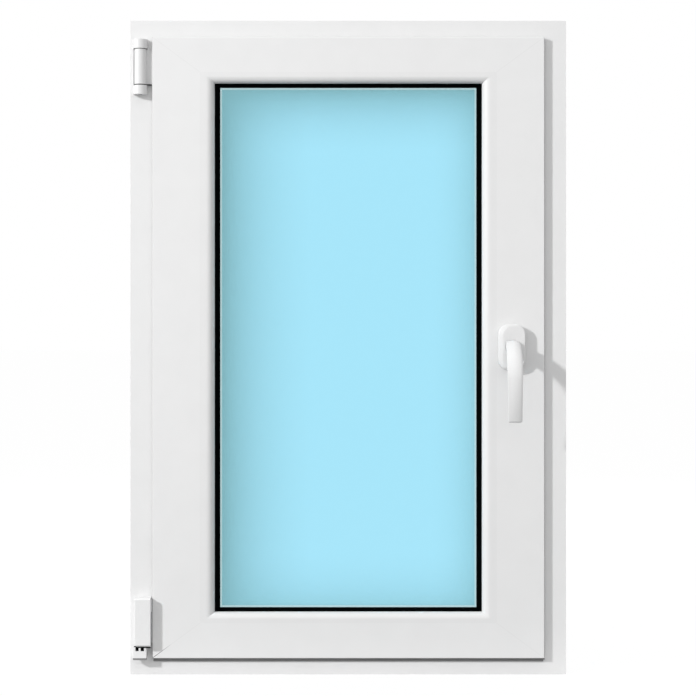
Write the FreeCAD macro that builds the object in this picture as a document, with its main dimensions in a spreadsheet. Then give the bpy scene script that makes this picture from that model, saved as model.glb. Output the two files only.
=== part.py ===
# Tilt and turn window: a single inward-opening sash in a fixed outer frame.
#
# Millimetres. +X is to the right and +Y to the outside, seen from the room; +Z is up.
# The origin is the middle of the sill's underside, half way through the frame's depth.
# Every frame and sash member is a hollow extruded profile with mitred ends.

import FreeCAD, Part
import math
import os

import Sketcher
from FreeCAD import Placement, Rotation, Vector

# Driving dimensions: alias, value and what it measures.
SIZES = [
    ("frame_width", 600.0, "outer frame, left to right"),
    ("frame_height", 900.0, "outer frame, bottom to top"),
    ("frame_depth", 70.0, "outer frame, room face to outside face"),
    ("jamb_show", 30.5, "outer frame seen beside the sash"),
    ("rail_show", 23.2, "outer frame seen above and below the sash"),
    ("sash_lap", 8.0, "sash lip over the frame's inner leg"),
    ("stop_reach", 20.0, "outside stop beyond the frame's inner leg"),
    ("stop_thick", 16.0, "outside stop, room side to outside"),
    ("rebate_fall", 5.0, "slope of the frame's rebate, for drainage"),
    ("nose_slope", 4.0, "sloped nose of the outside edges"),
    ("nose_depth", 8.0, "depth of that slope"),
    ("slot_deep", 4.0, "fixing slots round the frame's outer edge"),
    ("slot_wide", 12.0, "width of a fixing slot"),
    ("slot_edge", 10.0, "from a frame face to the nearer slot"),
    ("stile_wide", 85.5, "sash stile, lip edge to sight line"),
    ("rail_wide", 63.0, "sash rail, lip edge to sight line"),
    ("sash_step", 9.0, "sash face in front of the frame face"),
    ("stop_gap", 3.5, "air between sash and outside stop, closed by a seal"),
    ("lip_gap", 3.0, "air between sash lip and frame face, closed by a seal"),
    ("lip_wide", 20.0, "sash lip, edge to the sash body"),
    ("lip_round", 1.2, "rounded room edge of the lip"),
    ("rebate_wide", 20.0, "glazing rebate, floor to sight line"),
    ("outer_lip", 15.0, "outside lip that holds the glass"),
    ("gear_wide", 16.0, "groove for the locking gear"),
    ("gear_deep", 6.0, "depth of that groove"),
    ("gear_edge", 22.0, "sash face to the gear groove"),
    ("clip_wide", 5.0, "groove that holds the bead's foot"),
    ("clip_deep", 3.0, "depth of that groove"),
    ("clip_edge", 4.0, "sash face to that groove"),
    ("wall", 3.0, "outer walls of the profiles"),
    ("web", 1.5, "webs between the chambers"),
    ("seal_wide", 4.0, "width of a seal's groove"),
    ("seal_deep", 2.5, "depth of a seal's groove"),
    ("bead_flat", 9.0, "glazing bead's flat, in line with the sash face"),
    ("bead_fall", 11.0, "depth of the bead's rounded slope"),
    ("bead_thick", 2.5, "wall of the hollow bead"),
    ("gasket_thick", 3.0, "glazing gasket between bead and glass"),
    ("gasket_show", 7.2, "glazing gasket seen beside the bead"),
    ("gasket_rise", 3.5, "height of the gasket's slope at the bead"),
    ("pane_thick", 4.0, "each sheet of glass"),
    ("glass_deep", 17.5, "sash face to the room sheet of glass"),
    ("pane_play", 5.0, "glass edge to the rebate floor"),
    ("spacer_inset", 3.0, "spacer bar in from the glass edge"),
    ("spacer_wide", 8.0, "spacer bar across its width"),
    ("gasket_lip", 1.0, "thickness of the gasket's free edge"),
    ("handle_above", 0.7, "handle spindle above the window's middle"),
    ("handle_in", 45.7, "handle spindle in from the sash's edge"),
    ("rose_wide", 37.0, "handle rose, left to right"),
    ("rose_tall", 64.0, "handle rose, bottom to top"),
    ("rose_thick", 12.0, "handle rose in front of the sash"),
    ("rose_corner", 15.5, "rose corner radius"),
    ("rose_edge", 5.0, "rounding of the rose's front edge"),
    ("spindle_side", 7.0, "square spindle across the flats"),
    ("spindle_long", 44.0, "square spindle from end to end"),
    ("spindle_hole", 6.5, "radius of the spindle's hole in the stile"),
    ("socket_deep", 20.0, "lever's square socket, from the sash face"),
    ("neck_radius", 8.5, "round journal of the lever in the rose"),
    ("run_gap", 0.3, "running clearance round the journal"),
    ("seat_gap", 0.3, "clearance where parts lie on each other"),
    ("collar_gap", 0.8, "air between rose and lever"),
    ("neck_tall", 18.0, "lever's neck, bottom to top"),
    ("lever_reach", 66.0, "front of the grip in front of the sash"),
    ("lever_back", 8.0, "grip's tip back from its foremost line"),
    ("lever_crook", 27.0, "radius of the bend's inside"),
    ("lever_wide", 21.8, "lever at its neck, left to right"),
    ("lever_tip_wide", 19.0, "lever at its tip"),
    ("lever_thick", 13.3, "grip below the bend, front to back"),
    ("lever_tip_thick", 12.0, "grip at its tip, front to back"),
    ("lever_below", 102.0, "grip's tip below the spindle"),
    ("lever_corner", 3.5, "rounding of the lever's long edges"),
    ("lever_tip_round", 1.2, "rounding of the tip's end"),
    ("barrel_round", 9.8, "radius of the upper hinge's lugs"),
    ("knuckle_round", 8.3, "radius of the upper hinge's knuckle"),
    ("barrel_out", 4.5, "barrel axis in front of the frame"),
    ("hinge_centre", 14.0, "barrel axis from the frame's outer edge"),
    ("strap_thick", 0.8, "strap that joins the two lugs"),
    ("strap_out", 6.0, "strap in front of the frame"),
    ("pin_radius", 3.0, "hinge pins"),
    ("pin_play", 0.05, "pin in its hinge"),
    ("upper_drop", 26.5, "upper hinge below the top of the frame"),
    ("upper_lug", 12.5, "height of each lug of the upper hinge"),
    ("upper_knuckle", 48.2, "height of the middle knuckle"),
    ("hinge_slit", 0.8, "slit between the upper lug and the knuckle"),
    ("hinge_gap", 1.5, "wider slit under the knuckle, for lifting the sash"),
    ("hinge_web", 3.0, "knuckle's web in front of the frame"),
    ("lower_top", 106.6, "top of the lower hinge's cover"),
    ("lower_rim", 42.3, "bottom of that cover"),
    ("block_top", 39.0, "top of the bearing block"),
    ("block_base", 24.3, "bottom of the bearing block"),
    ("cover_wide", 21.5, "lower cover, left to right"),
    ("cover_side", 1.2, "air between lower cover and sash lip"),
    ("cover_proud", 12.3, "lower cover in front of the sash"),
    ("cover_wall", 2.0, "wall of the lower cover"),
    ("cover_corner", 2.5, "rounded top edge of the lower cover"),
    ("cover_edge", 0.6, "rounded upright edges of the lower cover"),
    ("cover_ear", 19.0, "ear at the cover's top that closes the air to the sash lip"),
    ("arm_low", 2.0, "sash arm in front of the frame"),
    ("arm_thick", 4.0, "thickness of the sash arm"),
    ("arm_inset", 3.0, "sash arm short of the cover's ends"),
    ("block_wide", 19.0, "bearing block, left to right"),
    ("block_proud", 16.0, "bearing block in front of the frame"),
    ("block_corner", 1.2, "rounded front edges of the block"),
    ("notch_wide", 3.9, "each notch in the block's top"),
    ("notch_deep", 4.6, "depth of a notch"),
    ("notch_back", 4.0, "notch, from the block's front"),
    ("notch_apart", 7.5, "from notch to notch"),
    ("pivot_long", 30.0, "pivot pin above the bearing block"),
    ("pivot_radius", 4.0, "pivot pin"),
    ("drain_wide", 42.0, "drain cap, left to right"),
    ("drain_tall", 13.0, "drain cap, bottom to top"),
    ("drain_proud", 5.0, "drain cap in front of the outside face"),
    ("drain_apart", 300.0, "between the two drain caps"),
    ("drain_high", 22.0, "drain cap's middle above the underside"),
    ("drain_corner", 3.0, "corner radius of a drain cap"),
    ("drain_wall", 1.6, "wall of a drain cap"),
]

doc = FreeCAD.newDocument("tilt_and_turn_window")


class Length:
    """A size that carries its value and the sheet formula that gives it."""

    def __init__(self, value, formula):
        self.value = float(value)
        self.formula = formula

    @staticmethod
    def of(other):
        if isinstance(other, Length):
            return other
        return Length(other, repr(float(other)))

    def _with(self, sign, other):
        other = Length.of(other)
        values = {
            "+": self.value + other.value,
            "-": self.value - other.value,
            "*": self.value * other.value,
            "/": self.value / other.value if other.value else 0.0,
        }
        return Length(values[sign], f"({self.formula} {sign} {other.formula})")

    def __add__(self, other):
        return self._with("+", other)

    def __radd__(self, other):
        return Length.of(other)._with("+", self)

    def __sub__(self, other):
        return self._with("-", other)

    def __rsub__(self, other):
        return Length.of(other)._with("-", self)

    def __mul__(self, other):
        return self._with("*", other)

    def __rmul__(self, other):
        return Length.of(other)._with("*", self)

    def __truediv__(self, other):
        return self._with("/", other)

    def __neg__(self):
        return Length(-self.value, f"(-1 * {self.formula})")


def make_sheet():
    """Put the driving dimensions in the sheet and return them by name."""
    sheet = doc.addObject("Spreadsheet::Sheet", "sizes")
    named = {}
    for row, (alias, value, note) in enumerate(SIZES, start=1):
        sheet.set(f"A{row}", note)
        sheet.set(f"B{row}", str(value))
        sheet.setAlias(f"B{row}", alias)
        named[alias] = Length(value, f"sizes.{alias}")
    doc.recompute()
    return named


class Named:
    """The sheet's sizes as attributes."""

    def __init__(self, named):
        self.__dict__.update(named)


s = Named(make_sheet())


# Sketches

def plane(body, role):
    """One of the body's own origin planes."""
    return [item for item in body.Origin.OriginFeatures if item.Role == role][0]


def new_sketch(body, name, role="XY_Plane", lift=None, rise=0, tilt=0.0):
    """A sketch on an origin plane, lifted along its normal, raised in it and tilted about its X."""
    sketch = body.newObject("Sketcher::SketchObject", name)
    sketch.AttachmentSupport = [(plane(body, role), "")]
    sketch.MapMode = "FlatFace"
    if lift is not None:
        lift, rise = Length.of(lift), Length.of(rise)
        sketch.AttachmentOffset = Placement(Vector(0, rise.value, lift.value), Rotation(Vector(1, 0, 0), tilt))
        sketch.setExpression("AttachmentOffset.Base.y", rise.formula)
        sketch.setExpression("AttachmentOffset.Base.z", lift.formula)
    return sketch


def pin_point(sketch, curve, end, point):
    """Hold one end of a curve at a point given by two sizes."""
    for kind, size in (("DistanceX", point[0]), ("DistanceY", point[1])):
        size = Length.of(size)
        index = sketch.addConstraint(Sketcher.Constraint(kind, -1, 1, curve, end, size.value))
        sketch.setExpression(f"Constraints[{index}]", size.formula)


def arc_between(first, last, centre):
    """The shorter arc from first to last, and which of its ends is first."""
    rays = [(p[0].value - centre[0].value, p[1].value - centre[1].value) for p in (first, last)]
    start, stop = [math.atan2(up, across) for across, up in rays]
    turn = (stop - start) % (2 * math.pi)
    circle = Part.Circle(Vector(centre[0].value, centre[1].value, 0), Vector(0, 0, 1), math.hypot(*rays[0]))
    if turn < math.pi:
        return Part.ArcOfCircle(circle, start, start + turn), 1
    return Part.ArcOfCircle(circle, stop, start + 2 * math.pi), 2


def hold_centre(sketch, curve, first, last, centre):
    """Hold an arc's centre across its chord: its ends hold the rest."""
    chord_flat = abs(last[0].value - first[0].value) >= abs(last[1].value - first[1].value)
    kind, size = ("DistanceY", centre[1]) if chord_flat else ("DistanceX", centre[0])
    index = sketch.addConstraint(Sketcher.Constraint(kind, -1, 1, curve, 3, size.value))
    sketch.setExpression(f"Constraints[{index}]", size.formula)


def add_loop(sketch, points, arcs=None):
    """A closed outline. arcs gives the centre of each round stretch, by the index of its first point."""
    arcs = arcs or {}
    points = [(Length.of(across), Length.of(deep)) for across, deep in points]
    ends = []
    for index, point in enumerate(points):
        following = points[(index + 1) % len(points)]
        if index in arcs:
            centre = (Length.of(arcs[index][0]), Length.of(arcs[index][1]))
            shape, first = arc_between(point, following, centre)
        else:
            corners = [Vector(p[0].value, p[1].value, 0) for p in (point, following)]
            shape, first = Part.LineSegment(*corners), 1
        curve = sketch.addGeometry(shape, False)
        ends.append((curve, first, 3 - first))
        pin_point(sketch, curve, first, point)
        if index in arcs:
            hold_centre(sketch, curve, point, following, centre)
    for index, (curve, _, last) in enumerate(ends):
        after, first, _ = ends[(index + 1) % len(ends)]
        sketch.addConstraint(Sketcher.Constraint("Coincident", curve, last, after, first))


def add_box(sketch, low, high):
    """A rectangle between two corners."""
    add_loop(sketch, [low, (high[0], low[1]), high, (low[0], high[1])])


def add_round_box(sketch, middle, wide, tall, corner):
    """A rectangle with round corners, about its middle."""
    across, up = Length.of(middle[0]), Length.of(middle[1])
    wide, tall, corner = Length.of(wide), Length.of(tall), Length.of(corner)
    left, right = across - wide / 2, across + wide / 2
    low, high = up - tall / 2, up + tall / 2
    points = [
        (left + corner, low), (right - corner, low),
        (right, low + corner), (right, high - corner),
        (right - corner, high), (left + corner, high),
        (left, high - corner), (left, low + corner),
    ]
    arcs = {
        1: (right - corner, low + corner),
        3: (right - corner, high - corner),
        5: (left + corner, high - corner),
        7: (left + corner, low + corner),
    }
    add_loop(sketch, points, arcs)


def add_circle(sketch, middle, radius):
    """A full circle."""
    across, up, radius = Length.of(middle[0]), Length.of(middle[1]), Length.of(radius)
    circle = Part.Circle(Vector(across.value, up.value, 0), Vector(0, 0, 1), radius.value)
    curve = sketch.addGeometry(circle, False)
    pin_point(sketch, curve, 3, (across, up))
    held = sketch.addConstraint(Sketcher.Constraint("Radius", curve, radius.value))
    sketch.setExpression(f"Constraints[{held}]", radius.formula)


def square(size):
    """A size times itself."""
    return size * size


# Features

def new_body(name):
    """A body whose label names its file."""
    body = doc.addObject("PartDesign::Body", name)
    body.Label = name
    return body


def bind(feature, property_name, size):
    """Tie a feature's property to a size."""
    feature.setExpression(property_name, Length.of(size).formula)


def add_pad(body, sketch, long, reverse=False, both_ways=False):
    """Pad a sketch along its normal, against it, or half each way."""
    pad = body.newObject("PartDesign::Pad", sketch.Name + "_pad")
    pad.Profile = sketch
    pad.Reversed = reverse
    if both_ways:
        pad.SideType = "Symmetric"
    bind(pad, "Length", long)
    return pad


def add_pocket(body, sketch, deep=None, reverse=False):
    """Cut a sketch to a depth, or right through both ways."""
    pocket = body.newObject("PartDesign::Pocket", sketch.Name + "_cut")
    pocket.Profile = sketch
    pocket.Reversed = reverse
    if deep is None:
        pocket.SideType = "Symmetric"
        pocket.Type = "ThroughAll"
    else:
        bind(pocket, "Length", deep)
    return pocket


def place(item, across, outward, up, turn=0.0):
    """Set an item down at a point, turned about Y by a quarter or more."""
    base = [Length.of(size) for size in (across, outward, up)]
    item.Placement = Placement(Vector(*[size.value for size in base]), Rotation(Vector(0, 1, 0), turn))
    for axis, size in zip("xyz", base):
        item.setExpression(f".Placement.Base.{axis}", size.formula)


def round_edges(body, radius, chosen):
    """Fillet the edges of the body's tip that the test picks."""
    doc.recompute()
    tip = body.Tip
    names = [f"Edge{n}" for n, edge in enumerate(tip.Shape.Edges, start=1) if chosen(edge)]
    fillet = body.newObject("PartDesign::Fillet", tip.Name + "_round")
    fillet.Base = (tip, names)
    bind(fillet, "Radius", radius)
    return fillet


# Depths that follow from the clearances.
SASH_DEPTH = s.frame_depth - s.stop_thick + s.sash_step - s.stop_gap
LIP_THICK = s.sash_step - s.lip_gap
LIP_DEPTH = SASH_DEPTH - s.outer_lip
GLASS_FRONT = s.glass_deep
PANE_GAP = LIP_DEPTH - s.gasket_thick - s.pane_thick * 2 - GLASS_FRONT
SLIVER = 0.01


# Profiles. Points are (across, deep): across from the bar's outer edge, deep from its room face.

def frame_section():
    """Outline and chambers of the outer frame's profile, at the jamb's width."""
    leg = s.jamb_show + s.sash_lap
    stop = leg + s.stop_reach
    face = s.frame_depth - s.stop_thick
    floor = leg - s.rebate_fall
    near, far = s.slot_edge, s.frame_depth - s.slot_edge
    outline = [
        (0, 0), (leg, 0), (leg, s.slot_edge * 2), (floor, face),
        (stop - s.seal_deep - s.seal_wide, face), (stop - s.seal_deep - s.seal_wide, face + s.seal_deep),
        (stop - s.seal_deep, face + s.seal_deep), (stop - s.seal_deep, face),
        (stop, face), (stop, s.frame_depth - s.nose_depth), (stop - s.nose_slope, s.frame_depth),
        (0, s.frame_depth), (0, far), (s.slot_deep, far), (s.slot_deep, far - s.slot_wide),
        (0, far - s.slot_wide), (0, near + s.slot_wide), (s.slot_deep, near + s.slot_wide),
        (s.slot_deep, near), (0, near),
    ]
    inner = floor - s.wall
    outer = s.slot_deep + s.wall
    front = near - s.wall
    middle = face - s.wall * 2
    back = s.frame_depth - s.wall
    chambers = [
        ((s.wall, s.wall), (inner, front)),
        ((outer, front + s.web), (inner, middle)),
        ((outer, middle + s.web), (inner, back)),
        ((inner + s.web, face + s.seal_deep + s.wall), (stop - s.nose_slope - s.wall, back)),
    ]
    return outline, {}, chambers


def sash_section():
    """Outline and chambers of the sash's profile, at the stile's width."""
    floor = s.stile_wide - s.rebate_wide
    lip = LIP_DEPTH
    gear_far = s.gear_edge + s.gear_wide
    clip_far = s.clip_edge + s.clip_wide
    outline = [
        (s.lip_round, 0), (floor, 0), (floor, s.clip_edge), (floor - s.clip_deep, s.clip_edge),
        (floor - s.clip_deep, clip_far), (floor, clip_far), (floor, lip),
        (s.stile_wide, lip), (s.stile_wide, SASH_DEPTH - s.nose_depth),
        (s.stile_wide - s.nose_slope, SASH_DEPTH), (s.lip_wide, SASH_DEPTH),
        (s.lip_wide, gear_far), (s.lip_wide + s.gear_deep, gear_far),
        (s.lip_wide + s.gear_deep, s.gear_edge), (s.lip_wide, s.gear_edge),
        (s.lip_wide, LIP_THICK), (s.seal_wide * 2, LIP_THICK),
        (s.seal_wide * 2, LIP_THICK - s.seal_deep), (s.seal_wide, LIP_THICK - s.seal_deep),
        (s.seal_wide, LIP_THICK), (0, LIP_THICK), (0, s.lip_round),
    ]
    arcs = {21: (s.lip_round, s.lip_round)}
    inner = floor - s.wall
    outer = s.lip_wide + s.wall
    front = clip_far + s.wall
    middle = lip - s.wall
    chambers = [
        ((outer, s.wall), (inner - s.clip_deep, front)),
        ((outer + s.gear_deep, front + s.web), (inner, middle)),
        ((outer, middle + s.web), (inner, SASH_DEPTH - s.wall)),
        ((inner + s.web, lip + s.wall), (s.stile_wide - s.nose_slope - s.wall, SASH_DEPTH - s.wall)),
    ]
    return outline, arcs, chambers


def bead_section():
    """Outline and chamber of the glazing bead: flat, then a rounded slope, with a foot that clips in."""
    floor = s.stile_wide - s.rebate_wide
    slope = floor + s.bead_flat
    back = GLASS_FRONT - s.gasket_thick
    clip_far = s.clip_edge + s.clip_wide
    outline = [
        (floor, 0), (slope, 0), (s.stile_wide, s.bead_fall), (s.stile_wide, back),
        (floor, back), (floor, clip_far - s.seat_gap), (floor - s.clip_deep + s.seat_gap, clip_far - s.seat_gap),
        (floor - s.clip_deep + s.seat_gap, s.clip_edge + s.seat_gap), (floor, s.clip_edge + s.seat_gap),
    ]
    arcs = {1: (slope, s.bead_fall)}
    chamber = ((floor + s.bead_thick, s.bead_thick), (slope, back - s.bead_thick))
    return outline, arcs, [chamber]


def inner_gasket_section():
    """The black gasket between bead and glass: a flat foot with a sloped face beside the bead."""
    glass = GLASS_FRONT
    foot = s.stile_wide - s.gasket_show
    outline = [
        (foot, glass - s.gasket_thick), (s.stile_wide, glass - s.gasket_thick),
        (s.stile_wide, glass - s.gasket_thick - s.gasket_rise),
        (s.stile_wide + s.gasket_show, glass - s.gasket_lip), (s.stile_wide + s.gasket_show, glass), (foot, glass),
    ]
    return outline, {}, []


def outer_gasket_section():
    """The black gasket between the outside lip and the glass."""
    lip = LIP_DEPTH
    foot = s.stile_wide - s.gasket_show
    outline = [
        (foot, lip - s.gasket_thick), (s.stile_wide + s.gasket_thick, lip - s.gasket_thick),
        (s.stile_wide, lip), (foot, lip),
    ]
    return outline, {}, []


def frame_seal_section():
    """The black seal in the frame's outside stop, pressed by the sash."""
    face = s.frame_depth - s.stop_thick
    stop = s.jamb_show + s.sash_lap + s.stop_reach
    near = stop - s.seal_deep - s.seal_wide
    outline = [
        (near, SASH_DEPTH - s.sash_step), (stop - s.seal_deep, SASH_DEPTH - s.sash_step),
        (stop - s.seal_deep, face + s.seal_deep), (near, face + s.seal_deep),
    ]
    return outline, {}, []


def sash_seal_section():
    """The black seal in the sash's lip, pressed against the frame's room face."""
    outline = [
        (s.seal_wide, LIP_THICK - s.seal_deep), (s.seal_wide * 2, LIP_THICK - s.seal_deep),
        (s.seal_wide * 2, s.sash_step), (s.seal_wide, s.sash_step),
    ]
    return outline, {}, []


def spacer_section():
    """The metal spacer bar between the two sheets of glass."""
    glass = GLASS_FRONT + s.pane_thick
    edge = s.stile_wide - s.rebate_wide + s.pane_play + s.spacer_inset
    outline = [
        (edge, glass), (edge + s.spacer_wide, glass),
        (edge + s.spacer_wide, glass + PANE_GAP), (edge, glass + PANE_GAP),
    ]
    return outline, {}, []


def scaled(point, scale):
    """A section point at the width of another bar."""
    return (Length.of(point[0]) * scale, point[1])


def profile_bar(name, section, scale, long, slope, far):
    """One hollow bar along +Z, cut at both ends by mitres of the given slope."""
    outline, arcs, chambers = section
    body = new_body(name)
    cut = new_sketch(body, name + "_section")
    points = [scaled(point, scale) for point in outline]
    fitted = {}
    for index, centre in arcs.items():
        fitted[index] = fitted_centre(points[index], points[(index + 1) % len(points)], scaled(centre, scale))
    add_loop(cut, points, fitted)
    for low, high in chambers:
        add_box(cut, scaled(low, scale), scaled(high, scale))
    add_pad(body, cut, long)
    ends = new_sketch(body, name + "_mitres", "XZ_Plane")
    reach = far * scale
    add_loop(ends, [(0, 0), (reach, 0), (reach, reach * slope)])
    add_loop(ends, [(0, long), (reach, long), (reach, long - reach * slope)])
    add_pocket(body, ends)
    return body


def fitted_centre(first, last, inside):
    """Centre of the quarter turn from first to last that lies towards inside."""
    first = [Length.of(size) for size in first]
    last = [Length.of(size) for size in last]
    across, deep = last[0] - first[0], last[1] - first[1]
    middle = (first[0] + across / 2, first[1] + deep / 2)
    options = [
        (middle[0] - deep / 2, middle[1] + across / 2),
        (middle[0] + deep / 2, middle[1] - across / 2),
    ]
    inside = [Length.of(size).value for size in inside]
    return min(options, key=lambda spot: math.hypot(spot[0].value - inside[0], spot[1].value - inside[1]))


# A ring is four mitred bars: left, top, right and bottom, seen from the room.

def ring_bars(names, section, wide, tall, stile, rail, far, inset_x, inset_z, front):
    """Four bars of one profile round a rectangle. stile and rail set the mitres."""
    slope_side = rail / stile
    slope_end = stile / rail
    left, right = -wide / 2, wide / 2
    low, high = inset_z, inset_z + tall
    spots = [
        (names[0], 1, tall, slope_side, left, low, 0.0),
        (names[1], slope_side, wide, slope_end, left, high, 90.0),
        (names[2], 1, tall, slope_side, right, high, 180.0),
        (names[3], slope_side, wide, slope_end, right, low, 270.0),
    ]
    bars = []
    for name, scale, long, slope, across, up, turn in spots:
        bar = profile_bar(name, section, scale, long, slope, far)
        place(bar, across, front, up, turn)
        bars.append(bar)
    return bars


def fused_ring(name, *details):
    """Four bars welded at their mitres into one ring."""
    bars = ring_bars([f"{name}_{side}" for side in ("left", "top", "right", "bottom")], *details)
    ring = doc.addObject("Part::MultiFuse", name)
    ring.Label = name
    ring.Shapes = bars
    ring.Refine = True
    return ring


FRAME_FRONT = -s.frame_depth / 2
SASH_FRONT = FRAME_FRONT - s.sash_step
SASH_WIDE = s.frame_width - s.jamb_show * 2
SASH_TALL = s.frame_height - s.rail_show * 2
FRAME_RING = (s.frame_width, s.frame_height, s.jamb_show, s.rail_show)
SASH_RING = (SASH_WIDE, SASH_TALL, s.stile_wide, s.rail_wide)

nodes = []


def keep(*items):
    """Mark finished pieces for export."""
    nodes.extend(items)


def make_frame():
    """The fixed outer frame and the seal in its outside stop."""
    far = s.jamb_show + s.sash_lap + s.stop_reach
    names = ["frame_hinge_jamb", "frame_head", "frame_lock_jamb", "frame_sill"]
    keep(*ring_bars(names, frame_section(), *FRAME_RING, far, 0, Length.of(0), FRAME_FRONT))
    keep(fused_ring("frame_seal", frame_seal_section(), *FRAME_RING, far, 0, Length.of(0), FRAME_FRONT))


def drill_spindle_hole(stile):
    """The spindle's hole in the handle stile, as deep as the spindle reaches."""
    hole = new_sketch(stile, "spindle_hole", "XZ_Plane")
    from_top = s.frame_height / 2 - s.rail_show - s.handle_above
    add_circle(hole, (s.handle_in, from_top), s.spindle_hole)
    add_pocket(stile, hole, s.spindle_long - s.socket_deep + s.seat_gap)


def make_sash():
    """The opening sash: profile, beads, seals and gaskets."""
    far = s.stile_wide + s.gasket_show
    ring = (*SASH_RING, far, 0, s.rail_show, SASH_FRONT)
    names = ["sash_hinge_stile", "sash_top_rail", "sash_handle_stile", "sash_bottom_rail"]
    bars = ring_bars(names, sash_section(), *ring)
    drill_spindle_hole(bars[2])
    keep(*bars)
    beads = ["bead_hinge_side", "bead_top", "bead_handle_side", "bead_bottom"]
    keep(*ring_bars(beads, bead_section(), *ring))
    keep(fused_ring("inner_gasket", inner_gasket_section(), *ring))
    keep(fused_ring("outer_gasket", outer_gasket_section(), *ring))
    keep(fused_ring("sash_seal", sash_seal_section(), *ring))
    keep(fused_ring("spacer_bar", spacer_section(), *ring))


def make_pane(name, deep):
    """One sheet of glass, its room face at a depth behind the sash face."""
    ratio = s.rail_wide / s.stile_wide
    edge = s.stile_wide - s.rebate_wide + s.pane_play
    pane = new_body(name)
    sheet = new_sketch(pane, name + "_sheet", "XZ_Plane")
    half = SASH_WIDE / 2 - edge
    low = s.rail_show + edge * ratio
    high = s.frame_height - s.rail_show - edge * ratio
    add_box(sheet, (-half, low), (half, high))
    add_pad(pane, sheet, s.pane_thick, reverse=True)
    place(pane, 0, SASH_FRONT + deep, 0)
    return pane


def make_glass():
    """The sealed double-glazed unit's two sheets."""
    keep(make_pane("glass_inner_pane", GLASS_FRONT))
    keep(make_pane("glass_outer_pane", GLASS_FRONT + s.pane_thick + PANE_GAP))


# Handle. Its bodies stand on the sash face, with the spindle's axis through their own origin.

def place_handle(item):
    """Set a handle piece down on the sash face at the spindle."""
    place(item, SASH_WIDE / 2 - s.handle_in, SASH_FRONT, s.frame_height / 2 + s.handle_above)


def make_rose():
    """The handle's rose: a rounded plate with a bore for the lever's neck."""
    rose = new_body("handle_rose")
    plate = new_sketch(rose, "rose_plate", "XZ_Plane")
    add_round_box(plate, (0, 0), s.rose_wide, s.rose_tall, s.rose_corner)
    add_pad(rose, plate, s.rose_thick)
    round_edges(rose, s.rose_edge, lambda edge: edge.BoundBox.YMax < -s.rose_thick.value + SLIVER)
    bore = new_sketch(rose, "rose_bore", "XZ_Plane")
    add_circle(bore, (0, 0), s.neck_radius + s.run_gap)
    add_pocket(rose, bore)
    place_handle(rose)
    return rose


def lever_side():
    """The lever's side view: a quarter turn out of the rose, then a grip that bows back to its tip."""
    start = s.rose_thick + s.collar_gap
    high = s.neck_tall / 2
    tip = -s.lever_below
    outer = s.lever_reach - start
    bend = high - outer
    front = s.lever_reach - s.lever_back
    bow = (square(bend - tip) + square(s.lever_back)) / (s.lever_back * 2)
    inside = s.lever_reach - s.lever_thick
    crook = -high - s.lever_crook
    rear = front - s.lever_tip_thick
    lean = inside - rear
    hollow = (square(crook - tip) + square(lean)) / (lean * 2)
    points = [
        (start, high), (s.lever_reach, bend), (front, tip), (rear, tip),
        (inside, crook), (inside - s.lever_crook, -high), (start, -high),
    ]
    centres = {
        0: (start, bend), 1: (s.lever_reach - bow, bend),
        3: (inside - hollow, crook), 4: (inside - s.lever_crook, crook),
    }
    return [(-out, up) for out, up in points], {index: (-out, up) for index, (out, up) in centres.items()}


def make_lever():
    """The lever: a round journal in the rose, and a grip that bends down and tapers on its glass side."""
    lever = new_body("handle_lever")
    side = new_sketch(lever, "lever_side", "YZ_Plane")
    add_loop(side, *lever_side())
    add_pad(lever, side, s.lever_wide, both_ways=True)
    taper = new_sketch(lever, "lever_taper", "XZ_Plane")
    top, tip, left = s.neck_tall / 2, -s.lever_below, s.lever_wide / -2
    add_loop(taper, [(left, top), (left, tip), (left + s.lever_wide - s.lever_tip_wide, tip)])
    add_pocket(lever, taper)
    begin = -(s.rose_thick + s.collar_gap).value - SLIVER
    end = tip.value + SLIVER
    round_edges(lever, s.lever_corner, lambda edge: is_long_edge(edge, begin, end))
    round_edges(lever, s.lever_tip_round, lambda edge: edge.BoundBox.ZMax < end)
    journal = new_sketch(lever, "lever_journal", "XZ_Plane", s.seat_gap)
    add_circle(journal, (0, 0), s.neck_radius)
    add_pad(lever, journal, s.rose_thick + s.neck_radius)
    socket = new_sketch(lever, "lever_socket", "XZ_Plane")
    half = s.spindle_side / 2
    add_box(socket, (-half, -half), (half, half))
    add_pocket(lever, socket, s.socket_deep, reverse=True)
    place_handle(lever)
    return lever


def is_long_edge(edge, begin, end):
    """Whether an edge runs along the lever, and not across it, round its root or round its tip."""
    box = edge.BoundBox
    across = box.XLength > box.YLength + box.ZLength
    return not across and box.YMin < begin and box.ZMax > end


def make_spindle():
    """The square spindle, from the lever's socket into the stile's chamber."""
    spindle = new_body("handle_spindle")
    section = new_sketch(spindle, "spindle_section", "XZ_Plane", s.socket_deep - s.spindle_long)
    half = s.spindle_side / 2
    add_box(section, (-half, -half), (half, half))
    add_pad(spindle, section, s.spindle_long)
    place_handle(spindle)
    return spindle


# Hinges. Their bodies stand on the frame face, with the barrel's axis through their own origin.

def place_hinge(item, up):
    """Set a hinge piece down on the frame face at the barrel's axis."""
    place(item, -s.frame_width / 2 + s.hinge_centre, FRAME_FRONT, up)


def add_barrel(sketch, radius, foot):
    """A half-round barrel whose flanks run down to a foot in front of the frame."""
    axis = -s.barrel_out
    add_loop(sketch, [(-radius, -foot), (radius, -foot), (radius, axis), (-radius, axis)], {2: (0, axis)})


def bore_barrel(body, name):
    """The pin's bore, right through."""
    hole = new_sketch(body, name + "_bore")
    add_circle(hole, (0, -s.barrel_out), s.pin_radius + s.pin_play)
    add_pocket(body, hole)


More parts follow.
